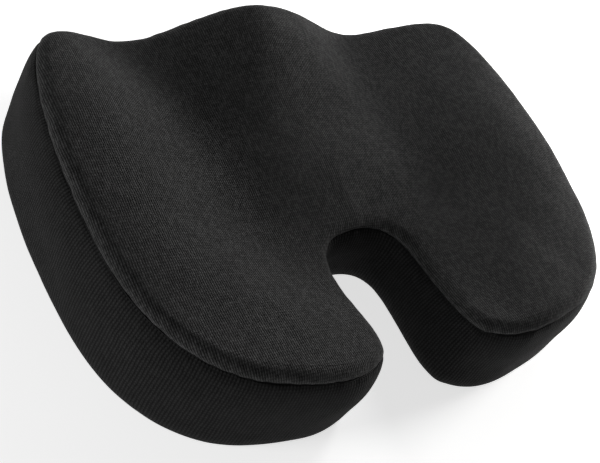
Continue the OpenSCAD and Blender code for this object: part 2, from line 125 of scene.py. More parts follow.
OUTLINE = make_outline()
TANGENT = np.roll(OUTLINE, -1, 0) - np.roll(OUTLINE, 1, 0)
TANGENT /= np.linalg.norm(TANGENT, axis=1)[:, None]
OUT = np.stack([TANGENT[:, 1], -TANGENT[:, 0]], 1)
ALONG = np.r_[0, np.cumsum(np.linalg.norm(np.diff(OUTLINE, axis=0), axis=1))]
LAP = ALONG[-1] + np.linalg.norm(OUTLINE[0] - OUTLINE[-1])
FIRST_FRONT, LAST_FRONT = SIDE_STEPS, SIDE_STEPS + FRONT_STEPS

# ---- Contour of the top ---------------------------------------------------------------------


def smooth(t):
    """From 0 to 1, with level ends."""
    u = np.clip(t, 0, 1)
    return u * u * (3 - 2 * u)


def bell(t):
    return np.exp(-t * t)


DISH = 12 * MM                        # depths and heights of the contour's hollows and rises
RIDGE = 20 * MM
CHANNEL = 20 * MM
BOLSTER = 17 * MM
REAR_RISE = 4 * MM
HOLLOW = 20 * MM


def top_z(x, y):
    """Height of the top: dishes, front ridge, bolsters, thigh channels and the tailbone's hollow."""
    ax = np.abs(x)
    to_front = smooth((y - (FRONT - 0.124)) / 0.132)
    bolster = smooth((ax - SIDE * 0.31) / (SIDE * 0.63))
    dishes = smooth((y - REAR - 0.054) / 0.100) * (1 - smooth((y - (FRONT - 0.119)) / 0.095))
    return (SEAT - DISH * dishes * bell((ax - SIDE * 0.445) / 0.050) + RIDGE * to_front * bell(x / 0.062)
            + BOLSTER * bolster * (0.31 + 0.69 * smooth((y - REAR - 0.014) / 0.280))
            - CHANNEL * to_front * bell((ax - SIDE * 0.51) / 0.055)
            + REAR_RISE * smooth((REAR + 0.104 - y) / 0.110)
            - HOLLOW * bell((ax - 0.020) / 0.070) * bell((y - (APEX - 0.035)) / 0.075))


def ripple(p, wavelength, seed, waves=7):
    """Smooth noise, about -1 to 1, from a few sine waves in seeded directions."""
    rng = np.random.default_rng(seed)
    total = 0
    for _ in range(waves):
        d = rng.normal(size=3)
        d /= np.linalg.norm(d)
        k = 2 * math.pi / (wavelength * rng.uniform(0.7, 1.5))
        total = total + np.sin((p @ d) * k + rng.uniform(0, 2 * math.pi))
    return total / math.sqrt(waves)


# ---- Cross-section of the edge --------------------------------------------------------------
# A level is (offset outwards, share of the seam's height, height added, facing in degrees).

EDGE = OUTLINE - SHOULDER * OUT
EDGE_Z = top_z(EDGE[:, 0], EDGE[:, 1])
SEAM_Z = EDGE_Z - SEAM_DROP

from_front = np.maximum(ALONG[FIRST_FRONT] - ALONG, ALONG - ALONG[LAST_FRONT])
SWELL = smooth(np.maximum(from_front, 0) / 0.04)   # how freely the wall swells: not beside the zip

HEM = (-10 * MM, 0, BASE, -90)
ROLL = (-5.5 * MM, 0, 0.3 * MM, -65)
HEEL = (-1.2 * MM, 0, 6 * MM, -20)
BELT = (0.6 * MM * SWELL, 0, ZIP_Z, 0)
WAIST = (0.9 * MM * SWELL, 0.62, 0, 0)
NECK = (-1.2 * MM + 0.6 * MM * SWELL, 0.85, 0, 8)
SEAM = (-SEAM_IN, 1, 0, 25)


def moved(level, s):
    """A level moved up along the skin by a distance."""
    a = math.radians(level[3])
    return (level[0] - s * math.sin(a), level[1], level[2] + s * math.cos(a), level[3])


def section(levels, steps):
    """Offsets, heights and facings (rows of RING values) of a smooth curve through the levels."""
    offs, zs, facing = [], [], []
    for k in range(len(levels) - 1):
        (o0, s0, h0, a0), (o1, s1, h1, a1) = levels[k], levels[k + 1]
        z0, z1 = s0 * SEAM_Z + h0, s1 * SEAM_Z + h1
        chord = np.hypot(o1 - o0, z1 - z0)
        a0, a1 = math.radians(a0), math.radians(a1)
        last = k == len(levels) - 2
        for t in np.linspace(0, 1, steps[k] + 1)[: None if last else -1]:
            b0, b1 = 2 * t**3 - 3 * t**2 + 1, 3 * t**2 - 2 * t**3
            m0, m1 = t**3 - 2 * t**2 + t, t**3 - t**2
            offs.append(b0 * o0 + b1 * o1 + chord * (-m0 * math.sin(a0) - m1 * math.sin(a1)))
            zs.append(b0 * z0 + b1 * z1 + chord * (m0 * math.cos(a0) + m1 * math.cos(a1)))
            d0, d1 = 6 * t * t - 6 * t, 6 * t - 6 * t * t
            e0, e1 = 3 * t * t - 4 * t + 1, 3 * t * t - 2 * t
            do = d0 * o0 + d1 * o1 + chord * (-e0 * math.sin(a0) - e1 * math.sin(a1))
            dz = d0 * z0 + d1 * z1 + chord * (e0 * math.cos(a0) + e1 * math.cos(a1))
            facing.append(np.arctan2(-do, dz))
    return np.array(offs), np.array(zs), np.array(facing)


def shoulder(first, steps):
    """The rounded rim, from a facing angle up to flat, and blended into the slope of the top."""
    run = SHOULDER - SEAM_IN
    offs, zs, facing = [], [], []
    for a in np.radians(np.linspace(first, 90, steps + 1)):
        off = -SHOULDER + run * math.cos(a)
        t = (off + SHOULDER) / run
        p = OUTLINE + off * OUT
        rise = (1 - t) * (top_z(p[:, 0], p[:, 1]) - EDGE_Z)
        offs.append(np.full(RING, off))
        zs.append(SEAM_Z + SEAM_DROP * math.sin(a) + rise)
        facing.append(np.full(RING, math.atan2(run * math.sin(a), SEAM_DROP * math.cos(a))))
    return np.array(offs), np.array(zs), np.array(facing)


def placed(sec, depth=0.0):
    """Points (rows, RING, 3) of a section at a depth, which may vary, and their normals."""
    offs, zs, facing = sec
    xy = OUTLINE[None] + offs[..., None] * OUT[None]
    normal = np.concatenate([np.cos(facing)[..., None] * OUT[None], np.sin(facing)[..., None]], 2)
    return np.concatenate([xy, zs[..., None]], 2) - np.asarray(depth)[..., None] * normal, normal


def cap_grid(height):
    """Inner points of the band between the outer wall and the cut-out's wall, and their places."""
    k = np.arange(1, CAP_STEPS) / CAP_STEPS
    a, b = EDGE[1:HALF], EDGE[RING - 1:HALF:-1]
    xy = a[:, None] + (b - a)[:, None] * k[None, :, None]
    return np.concatenate([xy, height(xy[..., 0], xy[..., 1])[..., None]], 2)


# ---- Mesh helpers ---------------------------------------------------------------------------


def wall_quads(rows, n, start, closed):
    """Quads over rows of n points each, the first numbered start."""
    i = np.arange(rows - 1)[:, None] * n + start
    j = np.arange(n if closed else n - 1)[None]
    k = (j + 1) % n
    return np.stack([i + j, i + k, i + n + k, i + n + j], -1).reshape(-1, 4)


def cap_faces(ring, inner):
    """Faces that close the loop whose points start at ring, over the grid that starts at inner."""
    def at(i, k):
        if k == 0 or i in (0, HALF):
            return ring + i
        if k == CAP_STEPS:
            return ring + RING - i
        return inner + (i - 1) * (CAP_STEPS - 1) + k - 1
    faces = []
    for i in range(HALF):
        for k in range(CAP_STEPS):
            if i == 0:
                faces.append((at(0, k), at(1, k), at(1, k + 1)))
            elif i == HALF - 1:
                faces.append((at(i, k), at(HALF, k), at(i, k + 1)))
            else:
                faces.append((at(i, k), at(i + 1, k), at(i + 1, k + 1), at(i, k + 1)))
    return faces


def linked(name, data):
    """A new object in the scene."""
    obj = bpy.data.objects.new(name, data)
    bpy.context.scene.collection.objects.link(obj)
    return obj


def build(name, points, faces, uv, material, replaced):
    """A smooth piece of the cushion's body, with its flat coordinates if it has any."""
    mesh = bpy.data.meshes.new(name)
    mesh.from_pydata(np.asarray(points).tolist(), [], [tuple(map(int, f)) for f in faces])
    mesh.update()
    bm = bmesh.new()
    bm.from_mesh(mesh)
    bmesh.ops.recalc_face_normals(bm, faces=bm.faces)
    bm.to_mesh(mesh)
    bm.free()
    if uv is not None:
        layer = mesh.uv_layers.new(name="cloth")
        index = np.empty(len(mesh.loops), np.int32)
        mesh.loops.foreach_get("vertex_index", index)
        layer.data.foreach_set("uv", np.asarray(uv, np.float32)[index].ravel())
    mesh.polygons.foreach_set("use_smooth", np.ones(len(mesh.polygons), bool))
    mesh.materials.append(material)
    obj = linked(name, mesh)
    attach(obj, "cushion")
    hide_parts(*replaced)
    return obj


def grid_strip(a, b):
    """Quads between two rows of point numbers."""
    a, b = np.asarray(a), np.asarray(b)
    return np.stack([a[:-1], a[1:], b[1:], b[:-1]], -1)


def turned_in(edge, away, normal, deep):
    """Rows that carry a cloth's edge round a small lip and into the seam, down to a depth."""
    turn = [edge + away * LIP * math.sin(t) - normal * LIP * (1 - math.cos(t))
            for t in np.radians([22, 45, 67, 90])]
    return np.array(turn + [edge + away * LIP - normal * deep])


def folded_over(edge, away, normal, thick):
    """Rows that carry a cloth's edge round a soft fold, back to its inner face."""
    return np.array([edge + away * thick * 0.5 * math.sin(t) - normal * thick * 0.5 * (1 - math.cos(t))
                     for t in np.linspace(0, math.pi, 7)[1:-1]])


def direction(a, b):
    """Unit vectors from b to a."""
    return (a - b) / np.linalg.norm(a - b, axis=-1)[..., None]


def sheet_band(name, sec, first, last, fabric, replaced, lips):
    """A strip of cover between two samples of the outline, closed all round, with turned lips."""
    cols = np.arange(first, last + 1) % RING
    outer, normal = placed(sec)
    outer, normal = outer[:, cols], normal[:, cols]
    run = np.concatenate([np.zeros((1, len(cols))),
                          np.cumsum(np.linalg.norm(np.diff(outer, axis=0), axis=2), 0)])
    u = np.where(np.arange(first, last + 1) >= RING, LAP, 0) + ALONG[cols]
    corner = np.minimum(np.abs(u - ALONG[FIRST_FRONT] - (LAP if last > RING else 0)),
                        np.abs(u - ALONG[LAST_FRONT]))[None]
    outer = outer + (fabric(outer, run, SWELL[cols]) + corner_pull(corner))[..., None] * normal
    inner = outer - COVER * normal
    low = lips[0](outer[0], direction(outer[0], outer[1]), normal[0])[::-1]
    high = lips[1](outer[-1], direction(outer[-1], outer[-2]), normal[-1])
    skin = np.concatenate([low, outer, high])
    rises = np.concatenate([np.repeat(run[:1], len(low), 0), run, np.repeat(run[-1:], len(high), 0)])
    n, m, k = len(cols), len(skin), len(outer)
    points = np.concatenate([skin.reshape(-1, 3), inner.reshape(-1, 3)])
    uv = np.concatenate([np.stack([np.broadcast_to(u, r.shape), r], -1).reshape(-1, 2)
                         for r in (rises, run)])
    faces = [*wall_quads(m, n, 0, False), *wall_quads(k, n, m * n, False)]
    edge = np.arange(n)
    faces += [*grid_strip(edge, m * n + edge), *grid_strip((m - 1) * n + edge, (m + k - 1) * n + edge)]
    for c in (0, n - 1):
        faces.append(tuple([r * n + c for r in range(m)] + [(m + r) * n + c for r in range(k)][::-1]))
    return build(name, points, faces, uv, side_knit, replaced)


def draped(name, sec, depth, thick, fabric, material, replaced, lip=None):
    """A sheet over the whole top whose rim follows a section; closed, with an inner skin."""
    outer, normal = placed(sec)
    grid = cap_grid(top_z)
    run = np.cumsum(np.concatenate([np.zeros((1, RING)),
                                    np.linalg.norm(np.diff(outer[::-1], axis=0), axis=2)]), 0)[::-1]
    slope = cap_normals(grid)
    outer = outer + (fabric(outer, run[0] - run) - depth)[..., None] * normal
    grid = grid + (fabric(grid, np.full(grid.shape[:2], 1.0)) - depth)[..., None] * slope
    skins = [(outer, run, grid), (outer - thick * normal, run, grid - thick * slope)]
    if lip:
        turned = lip(outer[0], direction(outer[0], outer[1]), normal[0])[::-1]
        turned_run = np.repeat(run[:1], len(turned), 0)
        skins[0] = (np.concatenate([turned, outer]), np.concatenate([turned_run, run]), grid)
    points, uv, faces, starts, start = [], [], [], [], 0
    for rows, reach_out, inside in skins:
        points += [rows.reshape(-1, 3), inside.reshape(-1, 3)]
        uv += [(EDGE[None] + reach_out[..., None] * OUT[None]).reshape(-1, 2), inside[..., :2].reshape(-1, 2)]
        faces += [*wall_quads(len(rows), RING, start, True)]
        faces += cap_faces(start + (len(rows) - 1) * RING, start + len(rows) * RING)
        starts.append(start)
        start += rows.shape[0] * RING + inside.shape[0] * inside.shape[1]
    ring = np.r_[np.arange(RING), 0]
    faces += [*grid_strip(starts[0] + ring, starts[1] + ring)]
    return build(name, np.concatenate(points), faces, np.concatenate(uv), material, replaced)


def cap_normals(grid):
    """The top's normals at the grid's places."""
    e = 0.001
    x, y = grid[..., 0], grid[..., 1]
    gx = (top_z(x + e, y) - top_z(x - e, y)) / (2 * e)
    gy = (top_z(x, y + e) - top_z(x, y - e)) / (2 * e)
    n = np.stack([-gx, -gy, np.ones_like(gx)], -1)
    return n / np.linalg.norm(n, axis=-1)[..., None]


# ---- Materials ------------------------------------------------------------------------------


class Net:
    """A material's node tree, with short calls for the nodes used here."""

    def __init__(self, name, **constants):
        self.material = bpy.data.materials.new(name)
        self.material.use_nodes = True
        self.tree = self.material.node_tree
        self.shader = next(n for n in self.tree.nodes if n.type == "BSDF_PRINCIPLED")
        for key, value in constants.items():
            self.shader.inputs[key.replace("_", " ")].default_value = value

    def node(self, kind, inputs=(), out=0, **settings):
        n = self.tree.nodes.new(kind)
        for key, value in settings.items():
            setattr(n, key, value)
        for key, value in dict(inputs).items():
            self.put(n.inputs[key], value)
        return n.outputs[out]

    def put(self, socket, value):
        if isinstance(value, bpy.types.NodeSocket):
            self.tree.links.new(value, socket)
        else:
            socket.default_value = value

    def math(self, operation, a, b=0.0, clamp=False):
        return self.node("ShaderNodeMath", {0: a, 1: b}, operation=operation, use_clamp=clamp)

    def noise(self, vector, scale, detail=2.0, rough=0.5):
        return self.node("ShaderNodeTexNoise", {"Vector": vector, "Scale": scale, "Detail": detail,
                                                "Roughness": rough})

    def spread(self, value, low, high, to_low=0.0, to_high=1.0):
        return self.node("ShaderNodeMapRange", {"Value": value, "From Min": low, "From Max": high,
                                                "To Min": to_low, "To Max": to_high})

    def colours(self, fac, first, second):
        mix = self.tree.nodes.new("ShaderNodeMix")
        mix.data_type = "RGBA"
        self.put(mix.inputs["Factor"], fac)
        self.put(mix.inputs[6], first)
        self.put(mix.inputs[7], second)
        return mix.outputs[2]

    def cloth_axes(self):
        """The piece's own flat coordinates in millimetres, one output each."""
        uv = self.node("ShaderNodeUVMap", uv_map="cloth")
        parts = self.tree.nodes.new("ShaderNodeSeparateXYZ")
        self.put(parts.inputs[0], uv)
        return [self.math("MULTIPLY", parts.outputs[i], 1000.0) for i in (0, 1)]

    def object_axes(self):
        parts = self.tree.nodes.new("ShaderNodeSeparateXYZ")
        self.put(parts.inputs[0], self.place())
        return parts.outputs[:3]

    def place(self):
        return self.node("ShaderNodeTexCoord", out=3)

    def joined(self, x, y, z=0.0):
        return self.node("ShaderNodeCombineXYZ", {0: x, 1: y, 2: z})

    def finish(self, colour=None, rough=None, height=None, depth=0.0002, strength=1.0):
        if colour is not None:
            self.put(self.shader.inputs["Base Color"], colour)
        if rough is not None:
            self.put(self.shader.inputs["Roughness"], rough)
        if height is not None:
            bump = self.node("ShaderNodeBump", {"Height": height, "Distance": depth, "Strength": strength})
            self.put(self.shader.inputs["Normal"], bump)
        return self.material


def grey(value, warm=0.0):
    return (value * (1 + warm), value, value * (1 - warm), 1)


def knit(name, pitch, stitch, dark, light, depth, speckle, sheen):
    """Ribs that run along the cloth's second axis, each a column of V-shaped stitches, with painted highlight
    on the crowns and painted shade in the grooves.
    """
    net = Net(name, Roughness=0.95, Specular_IOR_Level=0.06, Sheen_Weight=sheen, Sheen_Roughness=0.5)
    x, y = net.cloth_axes()
    flat = net.joined(x, y)
    drift = net.math("MULTIPLY", net.math("SUBTRACT", net.noise(flat, 0.045, 2.0), 0.5), 2.4)
    rib = net.math("DIVIDE", net.math("ADD", x, drift), pitch)
    across = net.math("ABSOLUTE", net.math("SUBTRACT", net.math("FRACT", rib), 0.5))
    crown = net.math("SUBTRACT", 1.0, net.math("POWER", net.math("MULTIPLY", across, 2.0), 1.3))
    along = net.math("ADD", net.math("DIVIDE", y, stitch), net.math("MULTIPLY", across, 1.3))
    wave = net.math("SINE", net.math("MULTIPLY", along, 2 * math.pi))
    loop = net.math("ADD", net.math("MULTIPLY", wave, 0.5), 0.5)
    cell = net.joined(net.math("FLOOR", rib), net.math("FLOOR", along))
    thread = net.node("ShaderNodeTexWhiteNoise", {"Vector": cell}, noise_dimensions="2D")
    streak = net.noise(net.joined(net.math("MULTIPLY", x, 1.4), net.math("MULTIPLY", y, 0.45)), 1.0, 2.0, 0.5)
    pale = net.math("MULTIPLY", net.math("POWER", thread, 1.5), net.spread(streak, 0.3, 0.7, 0.75, 1.0))
    # painted highlight and shade: the colour is lighter on each rib's crown and stitch loop and darker in the
    # grooves between them; the random pale threads are the yarn's own tone
    body = net.math("MULTIPLY", crown, net.math("ADD", net.math("MULTIPLY", loop, 0.6), 0.4))
    fac = net.math("ADD", net.math("MULTIPLY", body, 0.8), net.math("MULTIPLY", pale, speckle), clamp=True)
    cloud = net.spread(net.noise(flat, 0.02, 2.0), 0.3, 0.7, 0.92, 1.08)
    colour = net.colours(net.math("MULTIPLY", fac, cloud, clamp=True), dark, light)
    height = net.math("ADD", net.math("MULTIPLY", crown, 0.6),
                      net.math("MULTIPLY", net.math("MULTIPLY", loop, crown), 0.4))
    fuzz = net.math("MULTIPLY", net.noise(flat, 2.2, 3.0, 0.7), 0.5)
    rough = net.spread(streak, 0.3, 0.7, 0.82, 0.96)
    return net.finish(colour, rough, net.math("ADD", height, fuzz), depth)


def weave(name, pitch, dark, light, depth, rough=0.85, axes=None, diagonal=0.0, **constants):
    """A plain or, with a diagonal, a twill weave on the cloth's or the object's own axes, with painted shade
    where the threads dip and painted highlight on the raised threads.
    """
    net = Net(name, Specular_IOR_Level=0.3, **constants)
    if axes is None:
        x, y = net.cloth_axes()
    else:
        parts = net.object_axes()
        x, y = (net.math("MULTIPLY", parts[i], 1000.0) for i in axes)
    skewed = net.math("ADD", x, net.math("MULTIPLY", y, diagonal))
    warp = net.math("ABSOLUTE", net.math("SINE", net.math("MULTIPLY", skewed, math.pi / pitch)))
    weft = net.math("ABSOLUTE", net.math("SINE", net.math("MULTIPLY", y, math.pi / pitch)))
    height = net.math("MAXIMUM", net.math("MULTIPLY", warp, 0.9), weft)
    cell = net.joined(*(net.math("FLOOR", net.math("DIVIDE", axis, pitch)) for axis in (skewed, y)))
    thread = net.node("ShaderNodeTexWhiteNoise", {"Vector": cell}, noise_dimensions="2D")
    # painted shade and highlight: the colour is darker where the threads dip between one another and lighter
    # on the raised threads; the random thread tones are the yarn's own
    fac = net.math("MULTIPLY", height, net.math("ADD", net.math("MULTIPLY", thread, 0.6), 0.4))
    gloss = net.spread(thread, 0, 1, rough - 0.05, rough + 0.08)
    return net.finish(net.colours(fac, dark, light), gloss, height, depth)


def moulded(name, dark, light, rough, metallic=0.0, coat=0.0):
    """Moulded plastic, silicone or painted metal: faint mottling, fine grain, uneven gloss."""
    net = Net(name, Metallic=metallic, Coat_Weight=coat, Coat_Roughness=0.2)
    p = net.place()
    broad = net.noise(p, 180.0, 3.0)
    fine = net.noise(p, 2600.0, 2.0, 0.6)
    fac = net.spread(broad, 0.35, 0.65)
    return net.finish(net.colours(fac, dark, light), net.spread(fine, 0.3, 0.7, rough - 0.07, rough + 0.1),
                      fine, 0.00004)


def thread_material():
    net = Net("thread_polyester", Specular_IOR_Level=0.15)
    p = net.place()
    x, y, z = net.object_axes()
    slant = net.math("ADD", net.math("ADD", x, y), net.math("MULTIPLY", z, 1.7))
    twist = net.math("ABSOLUTE", net.math("SINE", net.math("MULTIPLY", slant, 5200.0)))
    # painted highlight and shade: the colour follows the twist, lighter on each ply's crest and darker in the
    # groove between plies; the noise is the yarn's own tone
    fac = net.math("MULTIPLY", twist, net.spread(net.noise(p, 900.0), 0.3, 0.7, 0.5, 1.0))
    colour = net.colours(fac, grey(0.006), grey(0.022))
    return net.finish(colour, net.spread(twist, 0, 1, 0.6, 0.8), twist, 0.00008)


def foam_material():
    net = Net("memory_foam", Specular_IOR_Level=0.2, Subsurface_Weight=0.05)
    p = net.place()
    cells = net.node("ShaderNodeTexVoronoi", {"Vector": p, "Scale": 900.0})
    tone = net.spread(net.noise(p, 14.0, 3.0), 0.3, 0.7)
    return net.finish(net.colours(tone, (0.80, 0.73, 0.56, 1), (0.90, 0.86, 0.72, 1)),
                      net.spread(cells, 0, 0.8, 0.95, 0.8), cells, 0.0004)


# the knits' dark grey is painted shade in the grooves and their light grey is painted highlight on the rib
# crowns; the pale threads vary at random
top_knit = knit("top_knit", 1.75, 2.3, grey(0.0012), grey(0.076), 0.0004, 0.42, 0.03)
side_knit = knit("side_knit", 2.5, 2.6, grey(0.002), grey(0.028), 0.00036, 0.2, 0.02)
# the woven cloths' dark grey is painted shade between the threads and their light grey is painted highlight
# on the raised threads; the threads also vary at random
base_cloth = weave("base_cloth", 1.4, grey(0.006), grey(0.03), 0.00018)
tape_cloth = weave("zip_tape", 0.7, grey(0.006), grey(0.028), 0.0001, axes=(0, 2), diagonal=1.0)
webbing = weave("webbing", 1.8, grey(0.006), grey(0.035), 0.0003)
liner_cloth = weave("liner_jersey", 1.1, grey(0.42), grey(0.62), 0.0001)
silicone = moulded("silicone", grey(0.025), grey(0.04), 0.35, coat=0.2)
zip_plastic = moulded("zip_plastic", grey(0.008), grey(0.02), 0.38)
zip_metal = moulded("zip_metal", grey(0.012), grey(0.03), 0.3, metallic=0.4, coat=0.5)
thread_black = thread_material()
foam = foam_material()

# ---- The cover ------------------------------------------------------------------------------


def drawn_in(distance):
    """How far a seam draws the layers in, at a distance from it."""
    return -PULL * (0.3 * bell(distance / 0.0018) + 0.7 * bell(distance / 0.008))


def seam_pull(distance, points, seed):
    """How far cloth is drawn in beside a seam, with small puckers along it."""
    return drawn_in(distance) + ripple(points, 0.011, seed) * 0.00022 * bell(distance / 0.007)


def corner_pull(distance):
    """How far cloth is drawn in beside a corner seam."""
    return -0.7 * MM * (bell(distance / 0.004) + bell(distance / 0.0015))


def top_fabric(points, distance):
    """The top panel's moves off its plain shape: soft waves and its seam."""
    soft = ripple(points, 0.075, 11) * 0.00045 + ripple(points, 0.028, 12) * 0.00012
    return soft + seam_pull(distance, points, 13)


def wall_fabric(points, run, swell):
    """The wall's waves, which are held flat beside the zip."""
    loose = 0.25 + 0.75 * swell
    waves = ripple(points, 0.085, 21) * 0.0006 + ripple(points, 0.030, 22) * 0.00018
    return waves * loose * smooth(run / 0.02)


def side_fabric(points, run, swell):
    seams = seam_pull(run[-1] - run, points, 13) + seam_pull(run, points, 23) * 0.4
    return wall_fabric(points, run, swell) + seams


def upper_fabric(points, run, swell):
    return wall_fabric(points, run + 0.02, swell) + seam_pull(run[-1] - run, points, 13)


def lower_fabric(points, run, swell):
    return wall_fabric(points, run, swell) + seam_pull(run, points, 23) * 0.4


def into_seam(edge, away, normal):
    return turned_in(edge, away, normal, ALLOWANCE)


def into_fold(edge, away, normal):
    return folded_over(edge, away, normal, COVER)


RIM = 6                               # facing of the top's lowest row, in degrees
rim = shoulder(RIM, 22)
cover_top = draped("cover_top", rim, 0, COVER, top_fabric, top_knit, ["top_panel"], into_seam)

parted = PULL * (math.sin(math.radians(SEAM[3])) - math.sin(math.radians(RIM)))   # by their facings
seam_edge = moved(SEAM, parted - 2 * LIP + 0.12 * MM)
hem_edge = moved(HEM, LIP)
wall = section([hem_edge, ROLL, HEEL, BELT, WAIST, NECK, seam_edge], (5, 6, 10, 16, 10, 10))
cover_side = sheet_band("cover_side", wall, LAST_FRONT, FIRST_FRONT + RING, side_fabric, ["side_band"],
                        (into_seam, into_seam))

ZIP_REACH = 135.6 * MM                # the slot is open as far as the stops, then its edges meet
open_half = COVER / 2 + (SLOT - COVER) / 2 * smooth((ZIP_REACH + 5 * MM - np.abs(OUTLINE[:, 0])) / (5 * MM))
slot_top = (0, 0, ZIP_Z + open_half, 0)
slot_low = (0, 0, ZIP_Z - open_half, 0)
upper = section([slot_top, (0, 0, ZIP_Z + 14 * MM, 0), WAIST, NECK, seam_edge], (6, 10, 10, 10))
lower = section([hem_edge, ROLL, HEEL, slot_low], (5, 6, 8))
cover_front_upper = sheet_band("cover_front_upper", upper, FIRST_FRONT, LAST_FRONT, upper_fabric,
                               ["front_band_upper"], (into_fold, into_seam))
cover_front_lower = sheet_band("cover_front_lower", lower, FIRST_FRONT, LAST_FRONT, lower_fabric,
                               ["front_band_lower"], (into_seam, into_fold))

# ---- Base, liner and foam -------------------------------------------------------------------

LINER_EDGE = -10.2 * MM               # the base sheets' edges, measured outwards from the outline
PANEL_EDGE = -10.05 * MM
ZIP_ROOM = 2.3 * MM                   # how far the liner and the foam stand back behind the zip


def flat_sheet(name, offset, z, thick, wave, material, replaced):
    """A flat panel inside the outline, a little rippled, closed all round."""
    offsets = np.linspace(offset, -SHOULDER, 4)
    grid = cap_grid(lambda x, y: np.full_like(x, z))
    points, faces, starts = [], [], []
    for k, height in enumerate((z, z + thick)):
        rows = np.array([np.column_stack([OUTLINE + o * OUT, np.full(RING, height)]) for o in offsets])
        inside = np.concatenate([grid[..., :2], np.full_like(grid[..., :1], height)], -1)
        skin = np.concatenate([rows.reshape(-1, 3), inside.reshape(-1, 3)])
        skin[:, 2] += wave * ripple(skin * (1, 1, 0), 0.05, 31)
        start = k * len(skin)
        faces += [*wall_quads(len(rows), RING, start, True)]
        faces += cap_faces(start + (len(rows) - 1) * RING, start + len(rows) * RING)
        points.append(skin)
        starts.append(start)
    ring = np.r_[np.arange(RING), 0]
    faces += [*grid_strip(starts[0] + ring, starts[1] + ring)]
    points = np.concatenate(points)
    obj = build(name, points, faces, points[:, :2], material, replaced)
    edge = OUTLINE + offset * OUT
    area = 0.5 * abs(np.sum(edge[:, 0] * np.roll(edge[:, 1], -1) - np.roll(edge[:, 0], -1) * edge[:, 1]))
    return obj, tuple(float(v) for v in np.ptp(edge, axis=0)), float(area)


def zip_room(points, *_):
    """The liner and the foam give way behind the zip."""
    x, y, z = points[..., 0], points[..., 1], points[..., 2]
    wide = smooth((SIDE * 2 / 3 + 0.016 - np.abs(x)) / 0.016) * (y > 0)
    return -ZIP_ROOM * wide * smooth((z - 0.005) / 0.005) * smooth((0.037 - z) / 0.008) * (z < 0.04)


inner_seam = (-SEAM_IN, 1, 0, 6)
inner_wall = section([HEM, HEEL, BELT, (0.9 * MM * SWELL, 0.62, 0, 0), inner_seam], (8, 8, 14, 12))
inner_rim = shoulder(8, 16)
body = tuple(np.concatenate([a, b]) for a, b in zip(inner_wall, inner_rim))
inner_run = np.r_[0, np.cumsum(np.linalg.norm(np.diff(placed(body)[0], axis=0), axis=2).mean(1))]
seam_squeeze = (drawn_in(inner_run - inner_run[len(inner_wall[0])]) * 1.3)[:, None]


def inner_give(points, *_):
    """How far the liner and the foam are drawn in, behind the zip and under the top seam."""
    give = zip_room(points)
    if len(points) == len(seam_squeeze):
        give = give + seam_squeeze
    return give


liner = draped("liner_upper", body, LINER_DEPTH, LINER, inner_give, liner_cloth, ["liner_top"])

liner_base, liner_size, liner_flat = flat_sheet(
    "liner_base", LINER_EDGE, BASE + LINER_DEPTH, LINER, 0, liner_cloth, ["liner_bottom"])
base_panel, base_size, base_flat = flat_sheet(
    "cover_base", PANEL_EDGE, BASE, COVER, 0.1 * MM, base_cloth, ["bottom_panel"])


def foam_block():
    """The foam, under the liner all round and flat underneath."""
    rows, normal = placed(body)
    rows = rows + (inner_give(rows) - FOAM_DEPTH)[..., None] * normal
    top = cap_grid(top_z)
    top = top - FOAM_DEPTH * cap_normals(top)
    under = float(rows[0, :, 2].min())
    first = np.column_stack([EDGE, np.full(RING, under)])[None]
    rows = np.concatenate([first, rows])
    bottom = cap_grid(lambda x, y: np.full_like(x, under))
    count = len(rows) * RING
    faces = [*wall_quads(len(rows), RING, 0, True)] + cap_faces(count - RING, count)
    faces += cap_faces(0, count + top.shape[0] * top.shape[1])
    points = np.concatenate([a.reshape(-1, 3) for a in (rows, top, bottom)])
    return build("foam_block", points, faces, points[:, :2], foam, ["foam_core"])


foam_piece = foam_block()


DOT_SPAN = 12 * MM                    # points nearer than this in plan belong to one dot


def islands(mesh):
    """Middle and radius of each separate round solid of a mesh, seen from above."""
    found = []
    for v in mesh.vertices:
        for one in found:
            if math.hypot(v.co.x - one[0].x, v.co.y - one[0].y) < DOT_SPAN:
                one.append(v.co)
                break
        else:
            found.append([v.co])
    middles = [np.array(one)[:, :2] for one in found]
    return [((m.min(0) + m.max(0)) / 2, float(np.ptp(m[:, 0])) / 2) for m in middles]


def grip_dots():
    """Each dot is a flattened dome of silicone whose flat face touches the floor."""
    points, faces = [], []
    sides = 40
    turn = np.linspace(0, 2 * math.pi, sides, endpoint=False)
    for middle, radius in islands(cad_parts["grip_dots"].data):
        profile = [(radius, BASE + 0.1 * MM), (radius, BASE * 0.85)]
        profile += [(radius - BASE * 0.8 * (1 - math.cos(t)), BASE * 0.8 * (1 - math.sin(t)))
                    for t in np.radians([15, 35, 55, 75, 90])] + [(radius * 0.45, 0.0)]
        start = len(points)
        for r, z in profile:
            points += [(middle[0] + r * math.cos(t), middle[1] + r * math.sin(t), z) for t in turn]
        for k in range(len(profile) - 1):
            for i in range(sides):
                j = (i + 1) % sides
                a, b = start + k * sides, start + (k + 1) * sides
                faces.append((a + i, a + j, b + j, b + i))
        faces.append(tuple(start + (len(profile) - 1) * sides + i for i in range(sides)))
        faces.append(tuple(start + i for i in range(sides)))
    return build("grip_dots_moulded", points, faces, None, silicone, ["grip_dots"])


grip_dots()

# ---- Thread, stitches and strap -------------------------------------------------------------


THREAD_R = 0.35 * MM
THREAD_STITCH = 3 * MM


